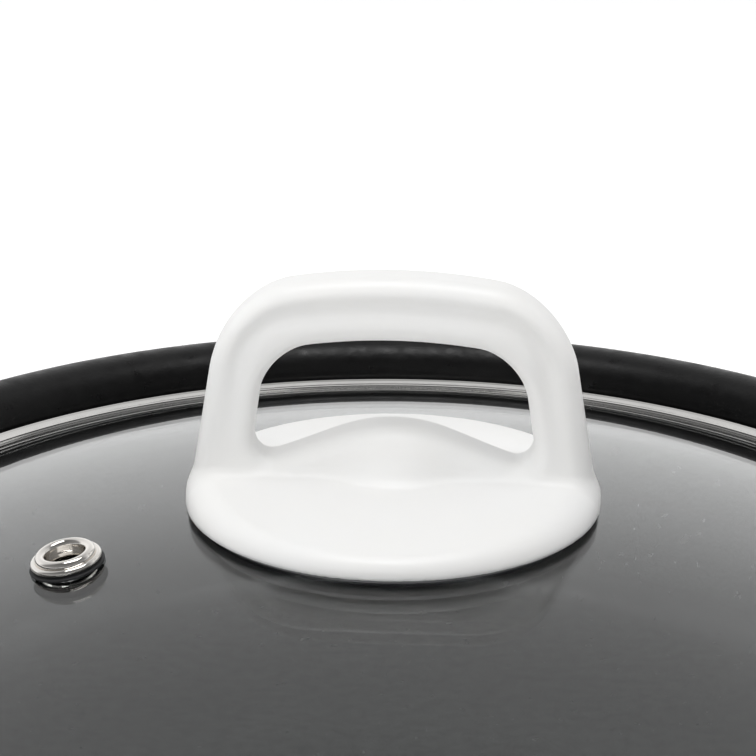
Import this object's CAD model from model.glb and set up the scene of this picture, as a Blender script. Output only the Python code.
"""Looks of the round electric griddle: smooth cast pan, glass lid, white grips, plug-in control.

Shapes are worked out in millimetres from the frame's node boxes and turned into metres once,
in make_mesh(). Soft mouldings are implicit solids, meshed by field_mesh().
"""
import math

import bmesh
import bpy
import numpy as np
from mathutils import Matrix, Vector


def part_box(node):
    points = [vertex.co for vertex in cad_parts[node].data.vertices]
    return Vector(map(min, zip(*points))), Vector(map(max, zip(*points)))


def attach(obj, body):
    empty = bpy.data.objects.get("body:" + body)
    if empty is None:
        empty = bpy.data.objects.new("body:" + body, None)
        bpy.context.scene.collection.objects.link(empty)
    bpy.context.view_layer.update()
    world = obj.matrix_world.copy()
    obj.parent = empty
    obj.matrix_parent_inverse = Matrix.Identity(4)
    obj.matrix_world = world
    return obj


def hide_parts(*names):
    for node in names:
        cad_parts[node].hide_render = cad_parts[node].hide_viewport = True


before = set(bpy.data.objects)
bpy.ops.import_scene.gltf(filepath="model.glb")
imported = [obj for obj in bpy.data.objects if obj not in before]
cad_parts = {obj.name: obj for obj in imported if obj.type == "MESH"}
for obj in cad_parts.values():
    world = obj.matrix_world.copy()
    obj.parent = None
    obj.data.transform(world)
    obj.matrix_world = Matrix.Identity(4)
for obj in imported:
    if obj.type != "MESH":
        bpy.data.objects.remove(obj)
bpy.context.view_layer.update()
MM = 0.001


def box_mm(node):
    """A CAD node's corners in millimetres."""
    low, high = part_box(node)
    return np.array(low) / MM, np.array(high) / MM


# ---------------------------------------------------------------- sizes, in millimetres
pan_low, pan_high = box_mm("pan")
band_low, band_high = box_mm("lid_rim_band")
glass_low, glass_high = box_mm("lid_glass")
handle_low, handle_high = box_mm("lid_handle")
right_low, right_high = box_mm("side_handle_right")
cover_low, cover_high = box_mm("control_cover")
case_low, case_high = box_mm("control_base")
dial_low, dial_high = box_mm("dial_knob")
element_low, element_high = box_mm("heating_element")

PAN_R = pan_high[1]
LIP_TUBE = 8.5
LIP_R = PAN_R - LIP_TUBE
LIP_Z = pan_high[2] - LIP_TUBE
LEDGE_Z = band_low[2]
LEDGE_R = PAN_R - 25.0
BAND_R = band_high[0]
GLASS_R = glass_high[0]
DOME_R = 372.0
GLASS_T = 4.0
DOME_Z = glass_high[2] - DOME_R + 0.04
GASKET = 0.8
BASE_R = handle_high[0]
BASE_Z = DOME_Z + math.sqrt((DOME_R + GASKET) ** 2 - BASE_R ** 2)
ARCH_TOP = handle_high[2] - BASE_Z
FLOOR_TOP = 46.0
FLOOR_UNDER = 40.0
VENT_R = 73.0
VENT_ANGLE = math.radians(202.2)


# ---------------------------------------------------------------- mesh helpers
def make_mesh(name, points, faces, smooth=True):
    """A mesh object from points in millimetres."""
    mesh = bpy.data.meshes.new(name)
    mesh.from_pydata([tuple(p) for p in np.asarray(points, float) * MM], [], [tuple(f) for f in faces])
    mesh.validate()
    mesh.update()
    piece = bpy.data.objects.new(name, mesh)
    bpy.context.scene.collection.objects.link(piece)
    if smooth:
        mesh.polygons.foreach_set("use_smooth", [True] * len(mesh.polygons))
    return piece


def dress(piece, material, body, slot, *nodes):
    """Gives a piece its material, the body it rides on, its record slot and the nodes it stands for."""
    piece.data.materials.clear()
    piece.data.materials.append(material)
    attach(piece, body)
    if nodes:
        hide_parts(*nodes)
    return piece


def arc(cx, cz, r, start, end, steps):
    """Points along an arc, angles in degrees."""
    return [
        (cx + r * math.cos(math.radians(start + (end - start) * i / steps)),
         cz + r * math.sin(math.radians(start + (end - start) * i / steps)))
        for i in range(steps + 1)
    ]


def lathe(profile, segments=192, closed=True):
    """Rings of a profile of (radius, height) turned round Z; returns points and faces."""
    count = len(profile)
    turn = np.linspace(0, 2 * math.pi, segments, endpoint=False)
    points = [(r * math.cos(t), r * math.sin(t), z) for t in turn for r, z in profile]
    spans = count if closed else count - 1
    faces = []
    for s in range(segments):
        a, b = s * count, (s + 1) % segments * count
        for i in range(spans):
            j = (i + 1) % count
            faces.append((a + i, b + i, b + j, a + j))
    return np.array(points), faces


def weld(piece, distance=0.002):
    """Merges points that fall together, such as those on a lathe's axis, and faces outwards."""
    bm = bmesh.new()
    bm.from_mesh(piece.data)
    bmesh.ops.remove_doubles(bm, verts=bm.verts, dist=distance * MM)
    bmesh.ops.dissolve_degenerate(bm, dist=distance * MM, edges=bm.edges)
    bmesh.ops.recalc_face_normals(bm, faces=bm.faces)
    bm.to_mesh(piece.data)
    bm.free()
    piece.data.polygons.foreach_set("use_smooth", [True] * len(piece.data.polygons))
    return piece


def lathe_piece(name, profile, segments=192, place=None):
    points, faces = lathe(profile, segments)
    if place is not None:
        points = points @ np.array(place.to_3x3()).T + np.array(place.translation)
    return weld(make_mesh(name, points, faces))


def joined(name, pieces):
    """One object out of several."""
    bm = bmesh.new()
    for p in pieces:
        bm.from_mesh(p.data)
    mesh = bpy.data.meshes.new(name)
    bm.to_mesh(mesh)
    bm.free()
    for p in pieces:
        bpy.data.objects.remove(p)
    whole = bpy.data.objects.new(name, mesh)
    bpy.context.scene.collection.objects.link(whole)
    mesh.polygons.foreach_set("use_smooth", [True] * len(mesh.polygons))
    return whole


def bevel(piece, width, segments=3, angle=30):
    mod = piece.modifiers.new("edges", "BEVEL")
    mod.width = width * MM
    mod.segments = segments
    mod.limit_method = "ANGLE"
    mod.angle_limit = math.radians(angle)
    mod.harden_normals = False
    return piece


def smooth_by_angle(piece, degrees=35):
    """Shades a carried-over node smooth, apart from its sharp edges."""
    mesh = piece.data
    mesh.polygons.foreach_set("use_smooth", [True] * len(mesh.polygons))
    mesh.set_sharp_from_angle(angle=math.radians(degrees))


# ---------------------------------------------------------------- implicit solids
def both(a, b, r=0.0):
    """Intersection of two distance fields, its edge rounded to r, which may vary from place to place."""
    if np.ndim(r) == 0 and r <= 0:
        return np.maximum(a, b)
    u, v = np.maximum(a + r, 0), np.maximum(b + r, 0)
    return np.minimum(np.maximum(a, b), -r) + np.sqrt(u * u + v * v)


def either(a, b, r=0.0):
    """Union of two distance fields, its corner filled to r."""
    return -both(-a, -b, r)


def cut(a, b, r=0.0):
    """a without b, the cut's edge rounded to r."""
    return both(a, -b, r)


def round_rect(x, y, hx, hy, r):
    """Distance to a rounded rectangle of half sizes hx and hy."""
    qx, qy = np.abs(x) - hx + r, np.abs(y) - hy + r
    return np.hypot(np.maximum(qx, 0), np.maximum(qy, 0)) + np.minimum(np.maximum(qx, qy), 0) - r


def field_points(field, points):
    return field(points[:, 0], points[:, 1], points[:, 2])


def field_mesh(name, field, low, high, cell, pulls=3):
    """Meshes the zero surface of a distance field with one point per crossed cell, pulled onto it."""
    axes = [np.arange(l - 1.5 * cell, h + 1.6 * cell, cell) for l, h in zip(low, high)]
    shape = tuple(len(a) for a in axes)
    grid = np.stack(np.meshgrid(*axes, indexing="ij"), -1).reshape(-1, 3)
    values = np.concatenate([field_points(field, g) for g in np.array_split(grid, 16)]).reshape(shape)
    cells = tuple(n - 1 for n in shape)
    total = np.zeros(cells + (3,))
    count = np.zeros(cells, int)
    crossings = []
    for d in range(3):
        a = values[tuple(slice(0, -1) if k == d else slice(None) for k in range(3))]
        b = values[tuple(slice(1, None) if k == d else slice(None) for k in range(3))]
        hit = np.argwhere((a < 0) != (b < 0))
        va, vb = a[tuple(hit.T)], b[tuple(hit.T)]
        at = hit.astype(float)
        at[:, d] += va / (va - vb)
        others = [k for k in range(3) if k != d]
        inside = np.all([(hit[:, k] > 0) & (hit[:, k] < cells[k]) for k in others], axis=0)
        hit, at, va = hit[inside], at[inside], va[inside]
        ring = []
        for da, db in ((0, 0), (-1, 0), (-1, -1), (0, -1)):
            c = hit.copy()
            c[:, others[0]] += da
            c[:, others[1]] += db
            np.add.at(total, tuple(c.T), at)
            np.add.at(count, tuple(c.T), 1)
            ring.append(np.ravel_multi_index(tuple(c.T), cells))
        ring = np.stack(ring, 1)
        flip = (va < 0) != (d == 1)
        ring[flip] = ring[flip][:, ::-1]
        crossings.append(ring)
    used = np.flatnonzero(count.ravel())
    index = np.full(count.size, -1)
    index[used] = np.arange(len(used))
    origin = np.array([a[0] for a in axes])
    points = total.reshape(-1, 3)[used] / count.ravel()[used][:, None] * cell + origin
    step = cell * 0.05
    for _ in range(pulls):
        f = field_points(field, points)
        slope = np.stack([
            (field_points(field, points + step * np.eye(3)[k]) - field_points(field, points - step * np.eye(3)[k]))
            / (2 * step) for k in range(3)], 1)
        size = np.maximum((slope ** 2).sum(1), 0.05)
        move = -(f / size)[:, None] * slope
        length = np.maximum(np.linalg.norm(move, axis=1, keepdims=True), 1e-9)
        points += move * np.minimum(1, 0.5 * cell / length)
    piece = make_mesh(name, points, index[np.concatenate(crossings)])
    bm = bmesh.new()
    bm.from_mesh(piece.data)
    bmesh.ops.recalc_face_normals(bm, faces=bm.faces)
    bm.to_mesh(piece.data)
    bm.free()
    piece.data.polygons.foreach_set("use_smooth", [True] * len(piece.data.polygons))
    return piece


# ---------------------------------------------------------------- materials
class Look:
    """A node material under construction."""

    def __init__(self, name):
        self.material = bpy.data.materials.new(name)
        self.material.use_nodes = True
        self.tree = self.material.node_tree
        self.shader = self.tree.nodes["Principled BSDF"]
        self.where = self.tree.nodes.new("ShaderNodeTexCoord").outputs["Object"]

    def set(self, **values):
        for name, value in values.items():
            self.shader.inputs[name.replace("_", " ")].default_value = value
        return self

    def node(self, kind, **inputs):
        made = self.tree.nodes.new(kind)
        for name, value in inputs.items():
            socket = made.inputs[name.replace("_", " ")]
            if isinstance(value, bpy.types.NodeSocket):
                self.tree.links.new(value, socket)
            else:
                socket.default_value = value
        return made

    def noise(self, scale, detail=3.0, rough=0.55, vector=None):
        made = self.node("ShaderNodeTexNoise", Vector=vector or self.where, Scale=scale, Detail=detail,
                         Roughness=rough)
        return made.outputs["Fac"]

    def cells(self, scale, vector=None):
        made = self.node("ShaderNodeTexVoronoi", Vector=vector or self.where, Scale=scale)
        return made.outputs["Distance"]

    def stretched(self, x, y, z):
        made = self.node("ShaderNodeMapping", Vector=self.where)
        made.inputs["Scale"].default_value = (x, y, z)
        return made.outputs["Vector"]

    def ramp(self, factor, stops):
        """stops are (position, grey or colour)."""
        made = self.node("ShaderNodeValToRGB", Fac=factor)
        elements = made.color_ramp.elements
        while len(elements) < len(stops):
            elements.new(0.5)
        for element, (position, value) in zip(elements, stops):
            element.position = position
            element.color = (value, value, value, 1) if isinstance(value, (int, float)) else (*value, 1)
        return made.outputs["Color"]

    def colour(self, socket):
        self.tree.links.new(socket, self.shader.inputs["Base Color"])
        return self

    def roughness(self, factor, low, high):
        self.tree.links.new(self.ramp(factor, [(0.3, low), (0.7, high)]), self.shader.inputs["Roughness"])
        return self

    def bump(self, *layers):
        """layers are (height socket, strength, distance in mm), chained."""
        normal = None
        for height, strength, distance in layers:
            made = self.node("ShaderNodeBump", Height=height, Strength=strength, Distance=distance * MM)
            if normal is not None:
                self.tree.links.new(normal, made.inputs["Normal"])
            normal = made.outputs["Normal"]
        self.tree.links.new(normal, self.shader.inputs["Normal"])
        return self


def white_plastic(name, base, rough=(0.34, 0.46), grain=1400):
    """Satin white moulding: a faint mottling in gloss and a fine moulded grain."""
    look = Look(name).set(IOR=1.49, Specular_IOR_Level=0.45, Subsurface_Weight=0.06, Subsurface_Scale=0.004)
    look.shader.inputs["Subsurface Radius"].default_value = (1.0, 0.95, 0.9)
    broad, fine = look.noise(35, 2), look.noise(grain, 3)
    warm = tuple(c * f for c, f in zip(base, (1.0, 0.995, 0.985)))
    look.colour(look.ramp(broad, [(0.3, base), (0.7, warm)]))
    look.roughness(look.noise(220, 4), *rough)
    look.bump((fine, 0.10, 0.03), (look.noise(160, 2), 0.05, 0.08))
    return look.material


def black_nonstick(name):
    """Deep black coating: fine orange peel that breaks its sheen up, with sparse mineral flecks."""
    look = Look(name).set(IOR=1.45, Specular_IOR_Level=0.30)
    flecks = look.ramp(look.cells(1500), [(0.0, 0.05), (0.05, 0.02), (0.09, 0.0)])
    cloud = look.ramp(look.noise(18, 3), [(0.3, (0.0016, 0.0016, 0.0018)), (0.7, (0.0036, 0.0035, 0.0036))])
    mix = look.node("ShaderNodeMix")
    mix.data_type = "RGBA"
    mix.blend_type = "ADD"
    mix.inputs["Factor"].default_value = 1.0
    look.tree.links.new(cloud, mix.inputs[6])
    look.tree.links.new(flecks, mix.inputs[7])
    look.colour(mix.outputs[2])
    look.roughness(look.noise(260, 4), 0.26, 0.50)
    look.bump((look.noise(1300, 3), 0.55, 0.05), (look.cells(900), 0.35, 0.05), (look.noise(70, 2), 0.10, 0.3))
    return look.material


def polished_steel(name, rough=(0.06, 0.14), tint=(0.80, 0.79, 0.77)):
    look = Look(name).set(Metallic=1.0)
    broad = look.noise(60, 3)
    look.colour(look.ramp(broad, [(0.3, tint), (0.7, tuple(0.94 * t for t in tint))]))
    look.roughness(look.noise(400, 4), *rough)
    look.bump((look.noise(120, 3), 0.05, 0.05), (look.noise(2200, 2), 0.04, 0.01))
    return look.material


def sheet_steel(name, tint=(0.55, 0.55, 0.56), rough=(0.28, 0.42), along=(6, 900, 900)):
    """Plain sheet or drawn steel with a directional grain."""
    look = Look(name).set(Metallic=1.0)
    grain = look.noise(1.0, 4, 0.6, look.stretched(*along))
    look.colour(look.ramp(grain, [(0.25, tuple(0.82 * t for t in tint)), (0.75, tint)]))
    look.roughness(grain, *rough)
    look.bump((grain, 0.18, 0.02), (look.noise(80, 2), 0.05, 0.1))
    return look.material


def black_plastic(name, base=0.018, rough=(0.38, 0.52), grain=1500):
    look = Look(name).set(IOR=1.48, Specular_IOR_Level=0.4)
    look.colour(look.ramp(look.noise(50, 3), [(0.3, base), (0.7, base * 1.4)]))
    look.roughness(look.noise(300, 3), *rough)
    look.bump((look.cells(grain), 0.25, 0.04), (look.noise(grain * 0.6, 2), 0.15, 0.03))
    return look.material


def silicone(name, base, rough=(0.45, 0.62)):
    look = Look(name).set(IOR=1.43, Specular_IOR_Level=0.35)
    look.colour(look.ramp(look.noise(70, 3), [(0.3, base), (0.7, tuple(1.15 * b for b in base))]))
    look.roughness(look.noise(250, 3), *rough)
    look.bump((look.noise(1100, 3), 0.15, 0.03))
    return look.material


def ceramic(name):
    look = Look(name).set(IOR=1.55, Specular_IOR_Level=0.4)
    look.colour(look.ramp(look.noise(300, 4), [(0.3, (0.78, 0.73, 0.62)), (0.7, (0.86, 0.82, 0.73))]))
    look.roughness(look.noise(500, 3), 0.5, 0.7)
    look.bump((look.noise(900, 4), 0.25, 0.04))
    return look.material


def clear_glass(name):
    """Tempered glass: faint grey-green body, almost clean surface."""
    look = Look(name).set(IOR=1.52, Transmission_Weight=1.0, Specular_IOR_Level=0.5)
    look.colour(look.ramp(look.noise(8, 2), [(0.3, (0.90, 0.92, 0.92)), (0.7, (0.93, 0.95, 0.95))]))
    look.roughness(look.noise(30, 3), 0.0, 0.012)
    look.bump((look.noise(14, 1), 0.02, 0.15))
    return look.material


def translucent(name, base, rough=(0.15, 0.25)):
    look = Look(name).set(IOR=1.5, Transmission_Weight=0.55, Specular_IOR_Level=0.5)
    look.colour(look.ramp(look.noise(200, 2), [(0.3, base), (0.7, tuple(0.8 * b for b in base))]))
    look.roughness(look.noise(300, 3), *rough)
    look.bump((look.cells(900), 0.2, 0.03))
    return look.material


WHITE = white_plastic("white_grip", (0.80, 0.80, 0.795))
DIAL_WHITE = white_plastic("white_dial", (0.78, 0.78, 0.775), (0.22, 0.32), 2200)
NONSTICK = black_nonstick("nonstick")
POLISHED = polished_steel("polished_steel")
SHEET = sheet_steel("sheet_steel")
SCREW_STEEL = sheet_steel("screw_steel", (0.62, 0.62, 0.60), (0.2, 0.34), (400, 400, 400))
TUBE_STEEL = sheet_steel("tube_steel", (0.30, 0.27, 0.24), (0.35, 0.55), (300, 300, 300))
EYELET = polished_steel("eyelet_steel", (0.05, 0.12), (0.86, 0.83, 0.79))
NICKEL = polished_steel("nickel", (0.12, 0.22), (0.74, 0.72, 0.66))
BRASS = polished_steel("brass", (0.18, 0.3), (0.80, 0.60, 0.28))
SHELL = black_plastic("black_shell")
RUBBER = silicone("rubber", (0.020, 0.020, 0.021))
GREY_SILICONE = silicone("grey_silicone", (0.16, 0.16, 0.165))
CERAMIC = ceramic("ceramic")
GLASS = clear_glass("glass")
LENS = translucent("lens_red", (0.75, 0.06, 0.03))
LAMP = translucent("lamp_glass", (0.95, 0.62, 0.35))


# ---------------------------------------------------------------- lid
def dome_height(r, radius=DOME_R):
    return DOME_Z + math.sqrt(radius * radius - r * r)


def vent_place():
    """Matrix, in millimetres, that stands a piece upright on the dome at the vent."""
    tilt = math.asin(VENT_R / DOME_R)
    turn = Matrix.Rotation(VENT_ANGLE, 4, "Z") @ Matrix.Rotation(tilt, 4, "Y")
    return Matrix.Translation((0, 0, DOME_Z)) @ turn @ Matrix.Translation((0, 0, DOME_R))


def make_glass():
    """The dome as a thin spherical shell with a ground edge and two holes."""
    hole_r, vent_hole_r, edge = 5.5, 4.9, 0.6
    rings = 84
    radii = [hole_r + (GLASS_R - edge - hole_r) * (i / rings) for i in range(rings + 1)]
    outer = [(r, dome_height(r)) for r in radii]
    inner_r = DOME_R - GLASS_T
    inner = [(r, dome_height(r, inner_r)) for r in reversed(radii)]
    top_edge, low_edge = outer[-1][1], inner[0][1]
    rim = [(GLASS_R - edge * 0.3, top_edge - edge * 0.45), (GLASS_R, top_edge - edge * 1.2),
           (GLASS_R, low_edge + edge * 1.2), (GLASS_R - edge * 0.3, low_edge + edge * 0.35)]
    points, faces = lathe(outer + rim + inner, 288)
    piece = make_mesh("lid_glass_dome", points, faces)
    bm = bmesh.new()
    bm.from_mesh(piece.data)
    place = vent_place()
    to_local = place.inverted()

    def local(v):
        return to_local @ (v.co / MM)

    gone = []
    for f in bm.faces:
        c = to_local @ (f.calc_center_median() / MM)
        if math.hypot(c.x, c.y) < vent_hole_r:
            gone.append(f)
    bmesh.ops.delete(bm, geom=gone, context="FACES")
    open_edges = [e for e in bm.edges if e.is_boundary]
    for v in {v for e in open_edges for v in e.verts}:
        p = local(v)
        away = math.hypot(p.x, p.y)
        p.x, p.y = p.x / away * vent_hole_r, p.y / away * vent_hole_r
        w = place @ p
        r = DOME_R if p.z > -GLASS_T / 2 else inner_r
        d = Vector((w.x, w.y, w.z - DOME_Z)).normalized() * r
        v.co = Vector((d.x, d.y, d.z + DOME_Z)) * MM
    bmesh.ops.bridge_loops(bm, edges=open_edges)
    bmesh.ops.recalc_face_normals(bm, faces=bm.faces)
    bm.to_mesh(piece.data)
    bm.free()
    smooth_by_angle(piece, 40)
    return dress(piece, GLASS, "lid", "glass", "lid_glass")


def make_band():
    """Rolled steel band round the glass: bead on top, skirt below, flanges over and under the glass."""
    thick, bead, wall = 0.85, 1.1, GLASS_R
    lip = wall - 3.5
    top = band_high[2]
    under = DOME_R - GLASS_T
    profile = [(lip, dome_height(lip) + 0.05), (lip + 0.15, dome_height(lip) + 0.45)]
    foot = lip + 0.9
    profile += [(foot, dome_height(foot) + thick * 0.55)]
    turn = arc(BAND_R - bead, top - bead, bead, 128, 0, 14)
    lean_r, lean_z = turn[0]
    base_z = dome_height(foot) + thick * 0.7
    profile += [(foot + (lean_r - foot) * t, base_z + (lean_z - base_z) * t ** 1.5)
                for t in np.linspace(0.2, 0.9, 6)]
    profile += turn
    profile += [(BAND_R, z) for z in np.linspace(top - bead - 1, LEDGE_Z + 0.8, 5)]
    profile += arc(BAND_R - 0.6, LEDGE_Z + 0.6, 0.6, 0, -90, 5)
    profile += [(wall + 0.5, LEDGE_Z), (wall + 0.1, LEDGE_Z + 0.3)]
    profile += [(r, dome_height(r, under) - thick) for r in np.linspace(wall - 0.2, lip + 0.5, 4)]
    profile += [(lip, dome_height(lip, under) - 0.4), (lip, dome_height(lip, under) - 0.03)]
    profile += [(wall + 0.02, dome_height(wall, under) - 0.03), (wall + 0.02, dome_height(wall) + 0.03)]
    piece = lathe_piece("lid_rim_band_steel", profile, 384)
    smooth_by_angle(piece, 50)
    return dress(piece, POLISHED, "lid", "steel_polished", "lid_rim_band")


def make_vent():
    """Steel eyelet: a fat rolled collar over a rounded flange, its tube clinched below the glass."""
    bore, flange, seat = 3.7, 7.75, 0.8
    tube = bore + 0.9
    profile = arc(5.45, 1.75, 1.15, -10, 180, 22)
    profile += [(4.22, 1.2), (4.02, 0.6), (3.82, 0.1), (bore, -0.5), (bore, -1.5), (bore, -3.0), (bore, -4.6)]
    profile += [(bore, -5.4), (bore + 0.3, -5.75), (bore + 1.3, -5.85), (flange - 2.0, -5.6)]
    profile += [(flange - 1.75, -5.3), (flange - 2.0, -5.0), (tube + 0.1, -4.85), (tube, -4.7), (tube, -0.1)]
    profile += [(tube + 0.05, 0.02), (flange - 0.9, 0.02)]
    profile += arc(flange - 0.78, 0.8, 0.78, -85, 125, 18)
    profile += [(6.52, 1.36)]
    place = vent_place() @ Matrix.Translation((0, 0, seat))
    eyelet = lathe_piece("vent_eyelet_steel", profile, 128, place)
    smooth_by_angle(eyelet, 42)
    dress(eyelet, EYELET, "lid", "steel_polished", "vent_eyelet")
    ring = arc(8.2 - 0.35, 0.4, 0.35, 90, -90, 8) + [(tube + 0.1, 0.05), (tube + 0.1, 0.75)]
    washer = lathe_piece("vent_washer_ring", ring, 96, vent_place())
    smooth_by_angle(washer, 50)
    dress(washer, RUBBER, "lid", "rubber", "vent_washer")


ARCH_HALF_W, ARCH_LEAN, ARCH_CORNER_R, ARCH_CROWN_R = 44.5, math.radians(9.0), 14.5, 133.0
BAR_H, OPENING_HALF_W, OPENING_LEAN = 14.1, 32.6, math.radians(8.2)


def bell(t):
    return 0.5 * (1 + np.cos(math.pi * np.minimum(np.abs(t), 1)))


def base_top(x, y, r):
    """Height of the round base's upper face: crowned, and raised towards the arch's plane."""
    roof = 3.3 * np.clip(1 - np.abs(y) / 43.0, 0, 1) ** 1.15
    crown = 0.9 * (1 - np.minimum(r / 43.0, 1) ** 2)
    return 4.7 + roof + crown


def lid_handle_field(x, y, z):
    """The arched grip, the wall that closes it below and its round base, over the dome."""
    z = z - BASE_Z
    ax = np.abs(x)
    crown = ARCH_CROWN_R
    side = (ax - ARCH_HALF_W) * math.cos(ARCH_LEAN) + z * math.sin(ARCH_LEAN)
    roof = np.hypot(x, z - ARCH_TOP + crown) - crown
    outer = both(side, roof, ARCH_CORNER_R)
    hole_side = (ax - OPENING_HALF_W) * math.cos(OPENING_LEAN) + z * math.sin(OPENING_LEAN)
    hole_roof = np.hypot(x, z - (ARCH_TOP - BAR_H) + crown - 8) - crown + 8
    hump = 9.3 + 9.4 * bell(ax / 36.0)
    hole_floor = (hump - z) * 0.9
    hole = both(both(hole_side, hole_roof, 9.0), hole_floor, 6.0)
    groove = 1.15 * np.exp(-((-outer - 6.2) / 2.3) ** 2)
    along = np.clip((z - 8) / 30, 0, 1)
    boss = 4.6 * bell(ax / 17.0) * np.clip((19.5 - z) / 11.0, 0, 1) ** 1.2
    half = 6.2 - groove * along + boss
    face = (np.abs(y) - half) * 0.93
    slab = both(both(outer, face, 4.2), -hole, 3.6)
    r = np.hypot(x, y)
    top = (z - base_top(x, y, r)) * 0.97
    rim = 3.6 + 3.2 * (x / np.maximum(r, 1.0)) ** 2
    disc = both(both(r - BASE_R, top, rim), 0.3 - z, 0.5)
    solid = both(either(disc, slab, 2.2), r - BASE_R, 0.2)
    seat = (DOME_R + GASKET) - np.sqrt(x * x + y * y + (z + BASE_Z - DOME_Z) ** 2)
    return both(solid, seat, 0.3)


def make_lid_handle():
    piece = field_mesh("lid_handle_grip", lid_handle_field, handle_low, handle_high, 0.62)
    return dress(piece, WHITE, "lid", "white_grip", "lid_handle")


# ---------------------------------------------------------------- pan
def pan_profile():
    """Outer face up over the rolled lip, down to the lid ledge, and along the inside."""
    floor_r, draft = LEDGE_R - 9.0, 16.0
    outer_r = floor_r + 4.5
    profile = [(0.0, FLOOR_UNDER), (30, FLOOR_UNDER), (60, FLOOR_UNDER), (outer_r - 9.0, FLOOR_UNDER)]
    profile += arc(outer_r - 9.0, FLOOR_UNDER + 9.0, 9.0, -85, -draft, 10)
    wall_top = (LEDGE_R + 4.5, LEDGE_Z - 5.0)
    start = profile[-1]
    profile += [(start[0] + (wall_top[0] - start[0]) * t, start[1] + (wall_top[1] - start[1]) * t)
                for t in (0.3, 0.6, 0.9)]
    profile += [(wall_top[0] + 1.0, wall_top[1] + 0.7), (wall_top[0] + 4.0, wall_top[1] + 2.3)]
    profile += arc(LIP_R, LIP_Z, LIP_TUBE, -112, 185, 44)
    profile += [(LIP_R - LIP_TUBE + 0.25, LIP_Z - 2.5), (LIP_R - LIP_TUBE + 0.4, LEDGE_Z + 1.2)]
    profile += arc(LIP_R - LIP_TUBE - 0.4, LEDGE_Z + 0.8, 0.8, 0, -90, 4)
    profile += [(LEDGE_R + 4, LEDGE_Z), (LEDGE_R + 1.2, LEDGE_Z)]
    profile += arc(LEDGE_R + 1.2, LEDGE_Z - 1.2, 1.2, 90, 165, 5)
    inner = arc(floor_r - 10.0, FLOOR_TOP + 10.0, 10.0, -draft, -85, 10)
    a, b = profile[-1], inner[0]
    profile += [(a[0] + (b[0] - a[0]) * t, a[1] + (b[1] - a[1]) * t) for t in (0.25, 0.5, 0.75)]
    profile += inner + [(80, FLOOR_TOP), (40, FLOOR_TOP), (0.0, FLOOR_TOP)]
    return profile


def make_pan():
    """The turned pan, with the CAD node's own faces for its underside and its handle lugs."""
    piece = lathe_piece("pan_cast", pan_profile(), 320)
    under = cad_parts["pan"].copy()
    under.data = under.data.copy()
    bpy.context.scene.collection.objects.link(under)
    bm = bmesh.new()
    bm.from_mesh(under.data)
    keep = LIP_R - LIP_TUBE
    gone = []
    for f in bm.faces:
        c = f.calc_center_median() / MM
        r = math.hypot(c.x, c.y)
        lug = (c.z > FLOOR_UNDER + 10 and r > LEDGE_R + 1.5 and c.z < LEDGE_Z - 4.5
               and abs(c.y) < 50 and r < keep + 3)
        below = c.z < FLOOR_UNDER - 0.05 or (c.z < FLOOR_UNDER + 1.2 and r > 120 and abs(c.y) < 30)
        if not (below or lug):
            gone.append(f)
    bmesh.ops.delete(bm, geom=gone, context="FACES")
    bm.to_mesh(under.data)
    bm.free()
    whole = joined("pan_nonstick", [piece, under])
    smooth_by_angle(whole, 35)
    return dress(whole, NONSTICK, "base", "nonstick", "pan")


def tube_sections(path, radius, sides=20):
    """A round tube along a list of points."""
    points = np.array(path, float)
    ahead = np.gradient(points, axis=0)
    ahead /= np.linalg.norm(ahead, axis=1, keepdims=True)
    up = np.array([0, 0, 1.0])
    side = np.cross(ahead, up)
    side /= np.linalg.norm(side, axis=1, keepdims=True)
    top = np.cross(side, ahead)
    turn = np.linspace(0, 2 * math.pi, sides, endpoint=False)
    rings = [points + radius * (math.cos(t) * side + math.sin(t) * top) for t in turn]
    made = np.stack(rings, 1).reshape(-1, 3)
    count = len(points)
    faces = [
        (i * sides + s, i * sides + (s + 1) % sides, (i + 1) * sides + (s + 1) % sides, (i + 1) * sides + s)
        for i in range(count - 1) for s in range(sides)
    ]
    faces.append(tuple(range(sides))[::-1])
    faces.append(tuple((count - 1) * sides + s for s in range(sides)))
    return made, faces


def make_element():
    """The heating tube: a loop in the floor's channel, its ends bent out to the terminals."""
    radius, pitch, z, bend = 85.0, 17.7, (element_low[2] + element_high[2]) / 2, 10.0
    end_x = element_high[0]
    centre_y = pitch + bend
    meet = math.sqrt((radius + bend) ** 2 - centre_y ** 2)
    reach = math.degrees(math.atan2(centre_y, meet))
    half = arc(meet, centre_y, bend, -90, -180 + reach, 8)
    loop = arc(0, 0, radius, reach, 360 - reach, 140)
    path = [(end_x - (end_x - meet) * t, pitch) for t in (0.0, 0.33, 0.66)]
    path += half + loop[1:-1]
    path += [(x, -y) for x, y in reversed(half)]
    path += [(end_x - (end_x - meet) * t, -pitch) for t in (0.66, 0.33, 0.0)]
    points, faces = tube_sections([(x, y, z) for x, y in path], 3.5, 24)
    piece = weld(make_mesh("heating_tube", points, faces))
    smooth_by_angle(piece, 50)
    return dress(piece, TUBE_STEEL, "base", "element_steel", "heating_element")


# ---------------------------------------------------------------- side handles and feet
BEAM_IN, BEAM_OUT = 134.0, 148.0
BEAM_TOP, BEAM_LOW = right_high[2], right_high[2] - 20.0
GRIP_TOP = BEAM_TOP - 1.0
GRIP_T = 14.0
LEG_R, LEG_ANGLE = 141.0, math.radians(27)
GRIP_OUT = right_high[0]
LUG_Z = GRIP_TOP - GRIP_T / 2
FOOT_H = 5.0


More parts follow.
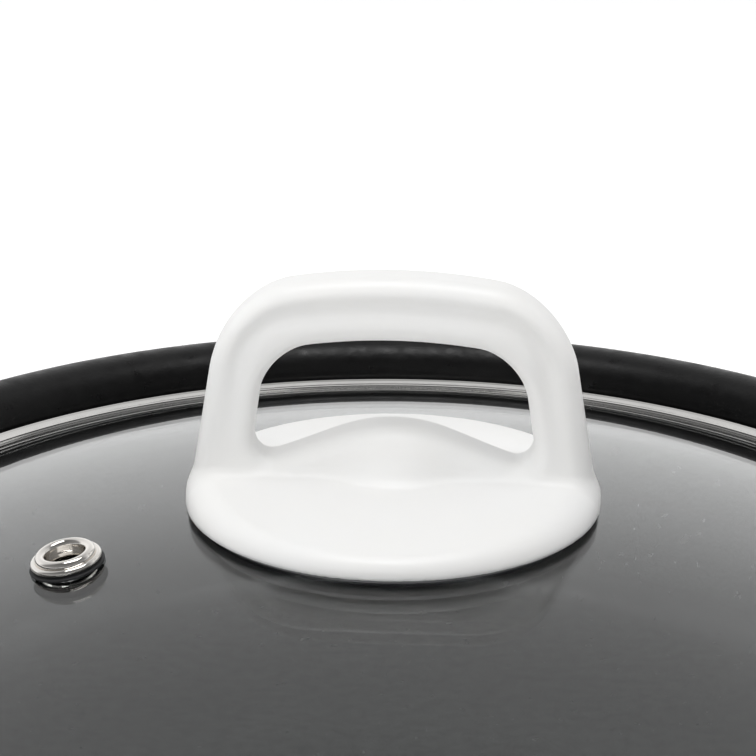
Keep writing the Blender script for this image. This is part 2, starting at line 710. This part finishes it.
def side_handle_field(x, y, z):
    """Beam under the lip, looped grip and two tapered legs, for the +X side."""
    r = np.hypot(x, y)
    span = math.radians(31)
    sector = np.abs(y) * math.cos(span) - x * math.sin(span)
    beam_z = np.abs(z - (BEAM_TOP + BEAM_LOW) / 2) - (BEAM_TOP - BEAM_LOW) / 2
    beam = both(both(r - BEAM_OUT, beam_z, 3.0), sector, 4.0)
    mid_z, half_t = GRIP_TOP - GRIP_T / 2, GRIP_T / 2
    left = 112.0
    outline = round_rect(x - (GRIP_OUT + left) / 2, y, (GRIP_OUT - left) / 2, 60.0, 26.0)
    gap_in, gap_out = PAN_R + 4.0, GRIP_OUT - 16.0
    gap = round_rect(x - (gap_in + gap_out) / 2, y, (gap_out - gap_in) / 2, 40.0, 10.0)
    face = np.abs(z - mid_z) - half_t
    grip = both(outline, face, 5.0)
    legs = None
    for s in (-1, 1):
        c, d = math.cos(LEG_ANGLE), s * math.sin(LEG_ANGLE)
        u, v = x * c + y * d - LEG_R, -x * d + y * c
        t = np.clip((z - FOOT_H) / (BEAM_TOP - FOOT_H), 0, 1)
        column = round_rect(u, v, 7.0, 7.0 + 4.0 * t, 5.5)
        leg = both(column, np.abs(z - (FOOT_H + BEAM_TOP - 1) / 2) - (BEAM_TOP - 1 - FOOT_H) / 2, 1.2)
        legs = leg if legs is None else np.minimum(legs, leg)
    solid = either(either(beam, grip, 3.0), legs, 4.0)
    solid = cut(solid, gap, 4.5)
    solid = both(solid, BEAM_IN - r, 1.5)
    solid = both(solid, z - BEAM_TOP, 2.0)
    for a in (-15, 15):
        c, d = math.cos(math.radians(a)), math.sin(math.radians(a))
        u, v = x * c + y * d, -x * d + y * c
        bore = both(np.hypot(v, z - LUG_Z) - 4.75, 143.0 - u)
        solid = cut(solid, both(bore, u - 164.0), 0.6)
        solid = cut(solid, both(np.hypot(v, z - LUG_Z) - 7.2, u - 137.0), 0.4)
    return solid


def make_side_handles():
    right = field_mesh("side_handle_right_grip", side_handle_field, right_low, right_high, 1.0)
    left = make_mesh("side_handle_left_grip", [], [])
    left.data = right.data.copy()
    left.data.transform(Matrix.Rotation(math.pi, 4, "Z"))
    dress(right, WHITE, "base", "white_grip", "side_handle_right")
    dress(left, WHITE, "base", "white_grip", "side_handle_left")


def make_feet():
    """Rubber feet with a rounded, slightly dished sole."""
    r = 8.5
    profile = [(0.0, 0.5), (3.5, 0.4), (5.2, 0.0), (r - 1.6, 0.0)] + arc(r - 1.4, 1.4, 1.4, -80, 0, 6)
    profile += arc(r - 1.0, FOOT_H - 1.0, 1.0, 0, 90, 5) + [(0.0, FOOT_H)]
    feet = []
    for side in (0, 180):
        for a in (-27, 27):
            turn = Matrix.Rotation(math.radians(side + a), 4, "Z") @ Matrix.Translation((LEG_R, 0, 0))
            feet.append(lathe_piece(f"foot_{side}_{a + 27}", profile, 48, turn))
    piece = joined("feet_rubber", feet)
    smooth_by_angle(piece, 45)
    return dress(piece, RUBBER, "base", "rubber", "feet")


# ---------------------------------------------------------------- thermostat control
CONTROL_X = (cover_low[0] + cover_high[0]) / 2
CONTROL_L = cover_high[0] - cover_low[0]
CONTROL_W = cover_high[1] - cover_low[1]
SPLIT_Z = cover_low[2]
COVER_TOP = cover_high[2]
CASE_LOW = case_low[2]
DIAL_X = (dial_low[0] + dial_high[0]) / 2
PLUG_Z = SPLIT_Z
LENS_AT = (box_mm("indicator_lens")[0] + box_mm("indicator_lens")[1]) / 2


def control_outline(x, y, inset=0.0):
    """Rounded rectangle, tight at the nose and round at the tail."""
    nose = round_rect(x - CONTROL_X, y, CONTROL_L / 2 - inset, CONTROL_W / 2 - inset, 3.0)
    tail = round_rect(x - CONTROL_X, y, CONTROL_L / 2 - inset, CONTROL_W / 2 - inset, 9.0 - inset)
    return np.where(x > CONTROL_X, tail, nose)


def control_field(x, y, z):
    """Both shells as one closed case; the halves are split from it."""
    wall = 2.0
    middle, half = (COVER_TOP + CASE_LOW) / 2, (COVER_TOP - CASE_LOW) / 2
    body = both(control_outline(x, y), np.abs(z - middle) - half, 3.2)
    room = both(control_outline(x, y, wall), np.abs(z - middle) - half + wall, 1.5)
    solid = cut(body, room)
    for s in (-1, 1):
        hole = both(np.hypot(y - s * 17.7, z - PLUG_Z) - 3.9, x - CONTROL_X)
        solid = cut(solid, hole, 0.4)
    solid = cut(solid, both(np.hypot(y, z - PLUG_Z) - 3.15, x - CONTROL_X))
    solid = cut(solid, both(np.hypot(y, z - PLUG_Z) - 6.3, CONTROL_X - x))
    groove = both(np.abs(z - COVER_TOP) - 0.5, np.abs(np.hypot(x - DIAL_X, y) - 20.3) - 0.35)
    solid = cut(solid, groove, 0.2)
    solid = cut(solid, both(np.hypot(x - DIAL_X, y) - 3.1, SPLIT_Z - z))
    for k in range(5):
        rib = round_rect(np.abs(y) - CONTROL_W / 2, x - (CONTROL_X + 6 + 4.2 * k), 0.7, 0.9, 0.3)
        solid = cut(solid, both(rib, np.abs(z - middle) - 7.0, 0.5), 0.3)
    return solid


def cover_field(x, y, z):
    solid = both(control_field(x, y, z), SPLIT_Z + 0.12 - z, 0.35)
    lens = np.hypot(x - LENS_AT[0], y - LENS_AT[1]) - 3.6
    return cut(solid, both(lens, SPLIT_Z - z), 0.25)


def case_field(x, y, z):
    solid = both(control_field(x, y, z), z - SPLIT_Z + 0.12, 0.35)
    for px, py in screw_spots():
        head = both(np.hypot(x - px, y - py) - 2.9, z - CASE_LOW - 2.0)
        solid = cut(solid, head, 0.3)
    return solid


def screw_spots():
    """Where the case's screws stand, from the frame's own screws."""
    low, high = box_mm("control_screws")
    inset = 2.8
    return [(low[0] + inset, high[1] - inset), (low[0] + inset, low[1] + inset), (high[0] - inset, low[1] + inset)]


def make_control():
    cover = field_mesh("control_cover_shell", cover_field, cover_low, cover_high, 0.55)
    dress(cover, SHELL, "control", "black_shell", "control_cover")
    case = field_mesh("control_base_shell", case_field, case_low, case_high, 0.55)
    dress(case, SHELL, "control", "black_shell", "control_base")


DIAL_R = (dial_high[0] - dial_low[0]) / 2
DIAL_LOW, DIAL_TOP = dial_low[2], dial_high[2]


def dial_field(x, y, z):
    """Fluted skirt with a raised, rounded grip bar and a pointer groove."""
    px, h = x - DIAL_X, z - DIAL_LOW
    r, a = np.hypot(px, y), np.arctan2(y, px)
    skirt_h, flutes = 3.4, 36
    edge = DIAL_R - 0.35 + 0.35 * np.cos(flutes * a)
    skirt = both(both(r - edge, h - skirt_h - 0.9 * np.clip(1 - r / DIAL_R, 0, 1), 1.0), -h, 0.4)
    hub = both(r - 13.0 + 0.12 * h, h - 6.4, 1.8)
    bar = round_rect(px, y, DIAL_R - 3.2, 4.4, 4.0) + 0.06 * (h - 4)
    bar = both(bar, h - (DIAL_TOP - DIAL_LOW), 1.6)
    solid = either(either(skirt, both(hub, -h), 1.5), both(bar, -h), 1.6)
    mark = both(np.abs(px) - 0.6, np.abs(y - DIAL_R + 3.6) - 1.8)
    solid = cut(solid, both(mark, np.abs(h - skirt_h) - 0.7), 0.2)
    return cut(solid, both(r - 3.05, h - 9.0))


def make_dial():
    piece = field_mesh("dial_knob_turned", dial_field, dial_low, dial_high, 0.5)
    dress(piece, DIAL_WHITE, "dial", "white_dial", "dial_knob")


# ---------------------------------------------------------------- nodes that keep their CAD shape
CARRIED = {
    "terminal_sleeves": (CERAMIC, 0.4), "terminal_pins": (NICKEL, 0.15), "socket_guard": (SHEET, 0.25),
    "guard_screws": (SCREW_STEEL, 0.12), "side_handle_screws": (SCREW_STEEL, 0.15),
    "control_screws": (SCREW_STEEL, 0.15), "probe": (POLISHED, 0.1), "probe_flange": (SHEET, 0.2),
    "receptacle_contacts": (BRASS, 0.15), "thermostat_plate": (SHEET, 0.2), "insulator_stack": (CERAMIC, 0.3),
    "contact_arm": (BRASS, 0.1), "indicator_lamp": (LAMP, 0.1), "indicator_lens": (LENS, 0.4),
    "cord_inlet": (RUBBER, 0.6), "dial_shaft": (SCREW_STEEL, 0.2), "shaft_clip": (SHEET, 0.15),
    "handle_gasket": (GREY_SILICONE, 0.15), "handle_insert": (BRASS, 0.25), "glass_grommet": (GREY_SILICONE, 0.3),
    "inner_seal": (GREY_SILICONE, 0.3), "cup_washer": (POLISHED, 0.25), "lid_screw": (SCREW_STEEL, 0.2),
}


def dress_nodes():
    for name, (material, edge) in CARRIED.items():
        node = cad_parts[name]
        node.data.materials.clear()
        node.data.materials.append(material)
        smooth_by_angle(node, 32)
        bevel(node, edge, 3, 32)


# ---------------------------------------------------------------- stage
def emission_floor():
    """Plain white studio floor, lit enough to stay pale right under the object."""
    look = Look("studio_floor").set(Roughness=0.9, Specular_IOR_Level=0.1, Emission_Strength=0.34)
    look.shader.inputs["Emission Color"].default_value = (1, 1, 1, 1)
    look.colour(look.ramp(look.noise(3, 2), [(0.3, 0.86), (0.7, 0.88)]))
    return look.material


def make_floor():
    size = 4000.0
    stations = (-size, -2000, -600, 0, 600, 1800, size)
    points = [(x, y, 0.0) for x in stations for y in (-size, size)]
    faces = [(2 * i, 2 * i + 2, 2 * i + 3, 2 * i + 1) for i in range(len(stations) - 1)]
    floor = make_mesh("studio_floor", points, faces, smooth=False)
    floor.data.materials.append(emission_floor())


def make_world():
    """A bright sweep behind the object that falls off overhead, and a dim room behind the camera."""
    world = bpy.data.worlds.new("studio")
    world.use_nodes = True
    bpy.context.scene.world = world
    tree = world.node_tree
    back = tree.nodes["Background"]
    where = tree.nodes.new("ShaderNodeTexCoord")
    split = tree.nodes.new("ShaderNodeSeparateXYZ")
    tree.links.new(where.outputs["Generated"], split.inputs[0])

    def ramp(source, stops):
        made = tree.nodes.new("ShaderNodeValToRGB")
        tree.links.new(source, made.inputs["Fac"])
        elements = made.color_ramp.elements
        while len(elements) < len(stops):
            elements.new(0.5)
        for element, (position, value) in zip(elements, stops):
            element.position = position
            element.color = (value, value, value, 1)
        return made.outputs["Color"]

    shift = tree.nodes.new("ShaderNodeMath")
    shift.operation = "MULTIPLY_ADD"
    shift.inputs[1].default_value = 0.5
    shift.inputs[2].default_value = 0.5
    tree.links.new(split.outputs["Y"], shift.inputs[0])
    height = ramp(split.outputs["Z"],
                  [(0.0, 1.0), (0.35, 1.0), (0.60, 0.80), (0.80, 0.66), (0.93, 0.40), (1.0, 0.30)])
    depth = ramp(shift.outputs[0], [(0.0, 0.20), (0.45, 0.28), (0.62, 1.0), (1.0, 1.0)])
    mix = tree.nodes.new("ShaderNodeMix")
    mix.data_type = "RGBA"
    mix.blend_type = "MULTIPLY"
    mix.inputs["Factor"].default_value = 1.0
    tree.links.new(height, mix.inputs[6])
    tree.links.new(depth, mix.inputs[7])
    tree.links.new(mix.outputs[2], back.inputs["Color"])
    back.inputs["Strength"].default_value = 1.0


def area_light(name, place, aim, size, power, glossy=True):
    data = bpy.data.lights.new(name, "AREA")
    data.shape = "RECTANGLE"
    data.size, data.size_y = size
    data.energy = power
    light = bpy.data.objects.new(name, data)
    light.location = place
    light.rotation_euler = (Vector(aim) - Vector(place)).to_track_quat("-Z", "Y").to_euler()
    light.visible_glossy = glossy
    bpy.context.scene.collection.objects.link(light)


def make_lights():
    area_light("overhead", (0.0, -0.10, 1.5), (0, 0, 0.1), (0.9, 0.5), 8.5)
    area_light("front_fill", (-0.4, -1.7, 1.0), (0, 0, 0.12), (1.8, 1.3), 22.0, glossy=False)
    area_light("left_fill", (-1.5, 0.2, 1.0), (0, 0, 0.1), (1.0, 1.0), 3.0, glossy=False)
    area_light("right_fill", (1.5, 0.3, 1.0), (0, 0, 0.1), (1.0, 1.0), 2.5, glossy=False)


def make_camera():
    """Close view from the front at the photograph's angle, aimed a little above the handle's base."""
    azimuth, elevation, distance = math.radians(3.0), math.radians(22.0), 0.82
    focal, sensor, side = 3769.0, 36.0, 756.0
    base = Vector((0, 0, BASE_Z * MM))
    away = Vector((math.sin(azimuth) * math.cos(elevation), -math.cos(azimuth) * math.cos(elevation),
                   math.sin(elevation)))
    data = bpy.data.cameras.new("photo_camera")
    data.sensor_width = sensor
    data.lens = focal / side * sensor
    data.clip_start, data.clip_end = 0.05, 30
    camera = bpy.data.objects.new("photo_camera", data)
    bpy.context.scene.collection.objects.link(camera)
    right = Vector((math.cos(azimuth), math.sin(azimuth), 0))
    up = away.cross(right)
    turn = Matrix((right, up, away)).transposed()
    pitch, yaw, roll = math.radians(1.885), math.radians(0.230), math.radians(0.40)
    turn = turn @ Matrix.Rotation(roll, 3, "Z") @ Matrix.Rotation(pitch, 3, "X") @ Matrix.Rotation(yaw, 3, "Y")
    camera.matrix_world = Matrix.Translation(base + away * distance) @ turn.to_4x4()
    bpy.context.scene.camera = camera


make_camera()
make_world()
make_lights()
make_floor()
make_pan()
make_element()
make_side_handles()
make_feet()
make_control()
make_dial()
make_glass()
make_band()
make_vent()
make_lid_handle()
dress_nodes()
bpy.context.scene.view_settings.view_transform = "Standard"
